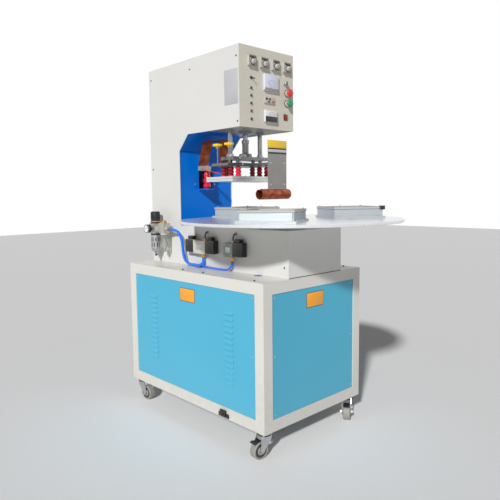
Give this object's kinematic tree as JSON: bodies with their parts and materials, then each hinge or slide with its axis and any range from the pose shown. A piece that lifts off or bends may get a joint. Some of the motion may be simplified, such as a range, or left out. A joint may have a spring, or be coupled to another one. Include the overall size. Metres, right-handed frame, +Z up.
{
  "type": "rotary blister packing machine",
  "caption": "Rotary blister packing machine: cabinet on casters, indexing disc with tray fixtures, and a high frequency sealing press under a C-shaped housing.",
  "frame": {"origin": "on the floor, under the middle of the machine's overall width and length", "axes": "+Z up, +Y from the operator towards the machine's rear, +X towards the machine's right side"},
  "size_m": [0.985, 1.3206, 1.732],
  "materials": {
    "frame_paint": "satin",
    "housing_paint": "satin",
    "panel_paint": "satin",
    "panel_blue": "satin",
    "liner_blue": "gloss",
    "floor_grey": "satin",
    "timer_grey": "matt",
    "meter_white": "gloss",
    "button_red": "gloss",
    "button_green": "gloss",
    "disc_alu": "brushed",
    "tray_alu": "milled",
    "press_steel": "ground",
    "electrode_alu": "milled",
    "insulator_red": "gloss",
    "plate_grey": "satin",
    "copper": "dull copper",
    "knob_yellow": "gloss",
    "cast_silver": "cast",
    "black_plastic": "matt",
    "bowl_clear": "clear",
    "hose_blue": "gloss",
    "zinc": "zinc plated",
    "wheel_grey": "matt"
  },
  "bodies": {
    "machine": {"air_filter_regulator": "cast_silver", "air_hose": "hose_blue", "branch_hose": "hose_blue", "cabinet_frame": "frame_paint", "control_panel": "panel_paint", "copper_drop": "copper", "copper_strap": "copper", "feed_clamp": "cast_silver", "feed_insulator": "insulator_red", "filter_bowl": "bowl_clear", "front_panel": "panel_blue", "grid_meter": "meter_white", "head_floor": "floor_grey", "housing_cover": "housing_paint", "housing_left": "housing_paint", "housing_right": "housing_paint", "left_panel": "panel_blue", "lubricator_bowl": "bowl_clear", "pedestal_cover": "housing_paint", "plate_meter": "meter_white", "pressure_gauge": "black_plastic", "rear_panel": "panel_blue", "regulator_knob": "black_plastic", "right_panel": "panel_blue", "throat_liner": "liner_blue", "timer_1": "timer_grey", "timer_2": "timer_grey", "timer_3": "timer_grey", "timer_4": "timer_grey", "valve_1": "cast_silver", "valve_2": "cast_silver", "valve_tube_1": "hose_blue", "valve_tube_2": "hose_blue"},
    "turntable": {"tray_fixture_1": "tray_alu", "tray_fixture_2": "tray_alu", "tray_fixture_3": "tray_alu", "turntable_disc": "disc_alu"},
    "press": {"clamp_knob_1": "knob_yellow", "clamp_knob_2": "knob_yellow", "contact_plate": "plate_grey", "contact_roll": "copper", "electrode_plate": "electrode_alu", "insulator_1": "insulator_red", "insulator_2": "insulator_red", "insulator_3": "insulator_red", "insulator_4": "insulator_red", "insulator_5": "insulator_red", "insulator_6": "insulator_red", "press_platen": "press_steel"},
    "stop_push": {"stop_button": "button_red"},
    "start_push": {"start_button": "button_green"},
    "swivel_front_left": {"caster_fork_front_left": "zinc"},
    "wheel_front_left": {"caster_wheel_front_left": "wheel_grey"},
    "swivel_front_right": {"caster_fork_front_right": "zinc"},
    "wheel_front_right": {"caster_wheel_front_right": "wheel_grey"},
    "swivel_rear_left": {"caster_fork_rear_left": "zinc"},
    "wheel_rear_left": {"caster_wheel_rear_left": "wheel_grey"},
    "swivel_rear_right": {"caster_fork_rear_right": "zinc"},
    "wheel_rear_right": {"caster_wheel_rear_right": "wheel_grey"}
  },
  "joints": [
    {"name": "turntable_index", "type": "hinge", "parent": "machine", "child": "turntable", "pos_m": [0, -0.16775, 0.964], "axis": [0, 0, 1], "continuous": true},
    {"name": "press_stroke", "type": "slide", "parent": "machine", "child": "press", "axis": [0, 0, -1], "range_m": [0, 0.08], "deforming": ["copper_drop"]},
    {"name": "stop_press", "type": "slide", "parent": "machine", "child": "stop_push", "axis": [0, 1, 0], "range_m": [0, 0.004], "stiffness_N_per_m": 700, "springref_m": -0.004},
    {"name": "start_press", "type": "slide", "parent": "machine", "child": "start_push", "axis": [0, 1, 0], "range_m": [0, 0.004], "stiffness_N_per_m": 700, "springref_m": -0.004},
    {"name": "swivel_front_left", "type": "hinge", "parent": "machine", "child": "swivel_front_left", "pos_m": [-0.285, -0.27975, 0.1], "axis": [0, 0, 1], "continuous": true},
    {"name": "roll_front_left", "type": "hinge", "parent": "swivel_front_left", "child": "wheel_front_left", "pos_m": [-0.31489, -0.27714, 0.0375], "axis": [-0.0872, -0.9962, 0], "continuous": true},
    {"name": "swivel_front_right", "type": "hinge", "parent": "machine", "child": "swivel_front_right", "pos_m": [0.285, -0.27975, 0.1], "axis": [0, 0, 1], "continuous": true},
    {"name": "roll_front_right", "type": "hinge", "parent": "swivel_front_right", "child": "wheel_front_right", "pos_m": [0.26043, -0.29696, 0.0375], "axis": [0.5736, -0.8192, 0], "continuous": true},
    {"name": "swivel_rear_left", "type": "hinge", "parent": "machine", "child": "swivel_rear_left", "pos_m": [-0.285, 0.62025, 0.1], "axis": [0, 0, 1], "continuous": true},
    {"name": "roll_rear_left", "type": "hinge", "parent": "swivel_rear_left", "child": "wheel_rear_left", "pos_m": [-0.28238, 0.59036, 0.0375], "axis": [0.9962, 0.0872, 0], "continuous": true},
    {"name": "swivel_rear_right", "type": "hinge", "parent": "machine", "child": "swivel_rear_right", "pos_m": [0.285, 0.62025, 0.1], "axis": [0, 0, 1], "continuous": true},
    {"name": "roll_rear_right", "type": "hinge", "parent": "swivel_rear_right", "child": "wheel_rear_right", "pos_m": [0.3, 0.59427, 0.0375], "axis": [0.866, 0.5, 0], "continuous": true}
  ]
}
